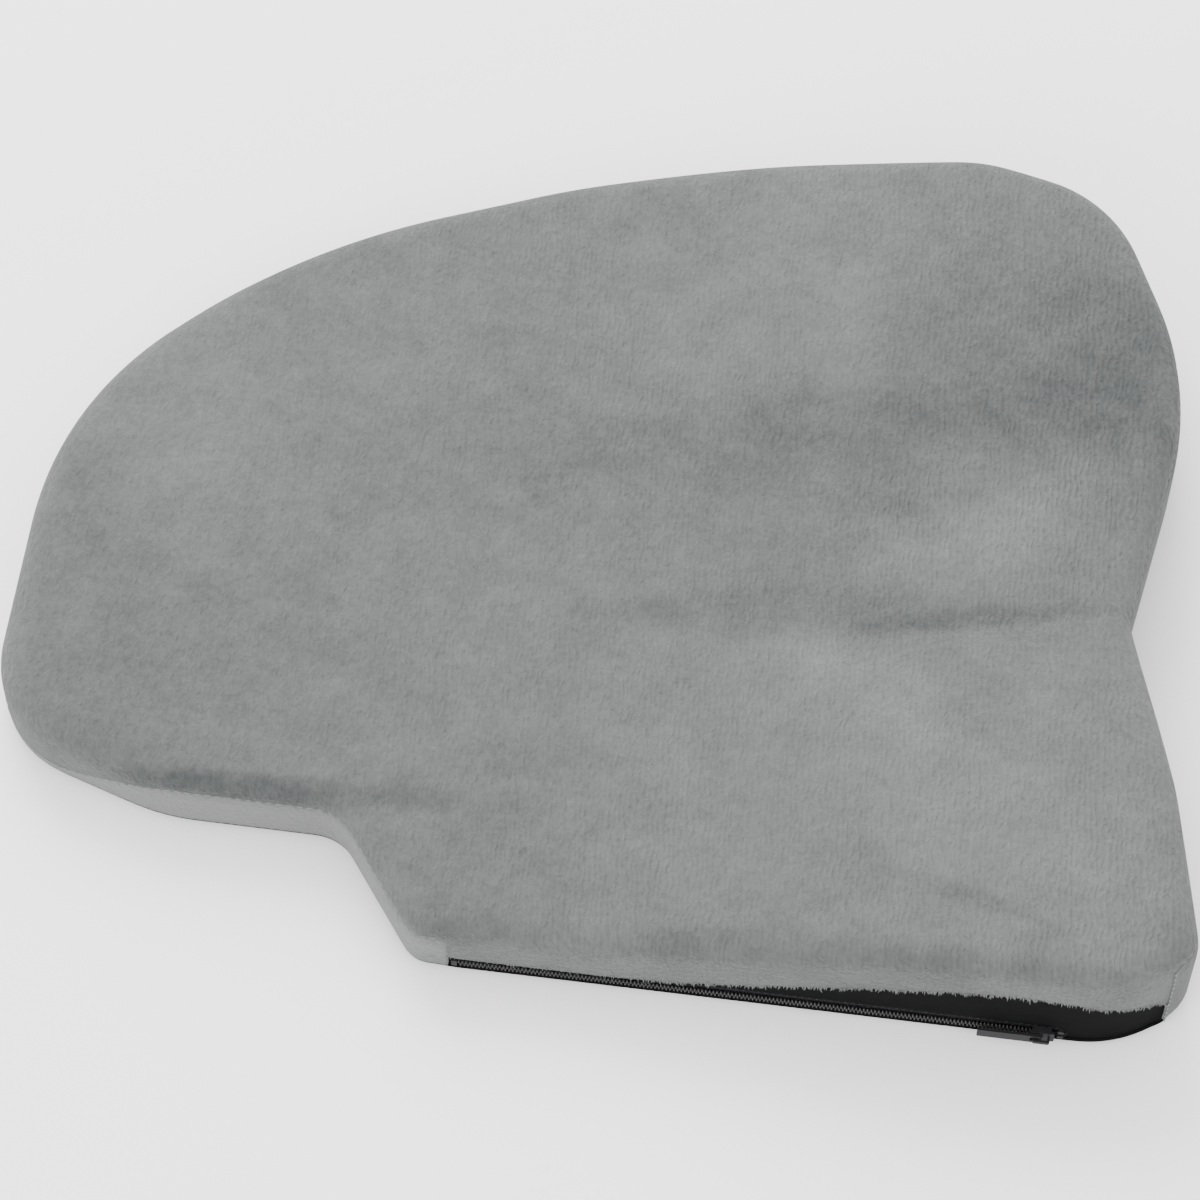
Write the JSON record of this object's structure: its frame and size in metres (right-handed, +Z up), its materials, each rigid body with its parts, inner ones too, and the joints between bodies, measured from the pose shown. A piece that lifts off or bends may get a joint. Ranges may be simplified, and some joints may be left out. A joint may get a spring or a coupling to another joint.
{
  "type": "contoured kneeling pad",
  "caption": "Contoured foam kneeling pad with a rounded nose, a stepped side and two raised lobes, in a grey plush cover with a black zip side and a non-slip base.",
  "frame": {"origin": "on the floor under the middle of the pad's bounding box, with the zip pull counted in", "axes": "+X along the straight zip side from the nose towards the two lobes, +Y away from the zip side, +Z up out of the top panel"},
  "size_m": [0.4257, 0.3238, 0.0562],
  "materials": {
    "foam": "open-cell moulded polyurethane foam, cream",
    "plush": "grey short-pile plush knit with fine upright ribs, soft sheen, brushed marks",
    "grey_thread": "grey spun polyester thread",
    "black_thread": "black spun polyester thread",
    "black_cloth": "matt black woven cloth",
    "base_cloth": "matt black knitted base cloth",
    "silicone": "black printed silicone",
    "label_cloth": "white satin ribbon, blank",
    "zip_tape": "black herringbone-woven polyester tape",
    "zip_coil": "black nylon monofilament",
    "slider_metal": "black enamelled zinc"
  },
  "bodies": {
    "pad": {"foam_core": "foam", "top_panel": "plush", "nose_side_band": "plush", "lobe_side_band": "plush", "top_seam_stitching": "grey_thread", "base_seam_stitching": "black_thread", "band_joint_stitching": "grey_thread", "zip_side_panel": "black_cloth", "base_panel": "base_cloth", "grip_dots": "silicone", "care_label": "label_cloth", "zip_tape_upper": "zip_tape", "zip_tape_lower": "zip_tape", "zip_tape_stitching": "black_thread", "zip_coil_upper": "zip_coil", "zip_coil_lower": "zip_coil", "zip_top_stops": "slider_metal", "zip_bottom_stop": "slider_metal"},
    "slider": {"zip_slider": "slider_metal"},
    "pull_tab": {"zip_pull_tab": "slider_metal"}
  },
  "joints": [
    {"name": "zip_slide", "type": "slide", "parent": "pad", "child": "slider", "axis": [-1, 0, 0], "range_m": [0, 0.1967], "deforming": ["zip_coil_upper", "zip_coil_lower"]},
    {"name": "tab_swing", "type": "hinge", "parent": "slider", "child": "pull_tab", "pos_m": [0.16397, -0.16032, 0.008], "axis": [0, 0, 1], "range_deg": [0, 150]}
  ]
}
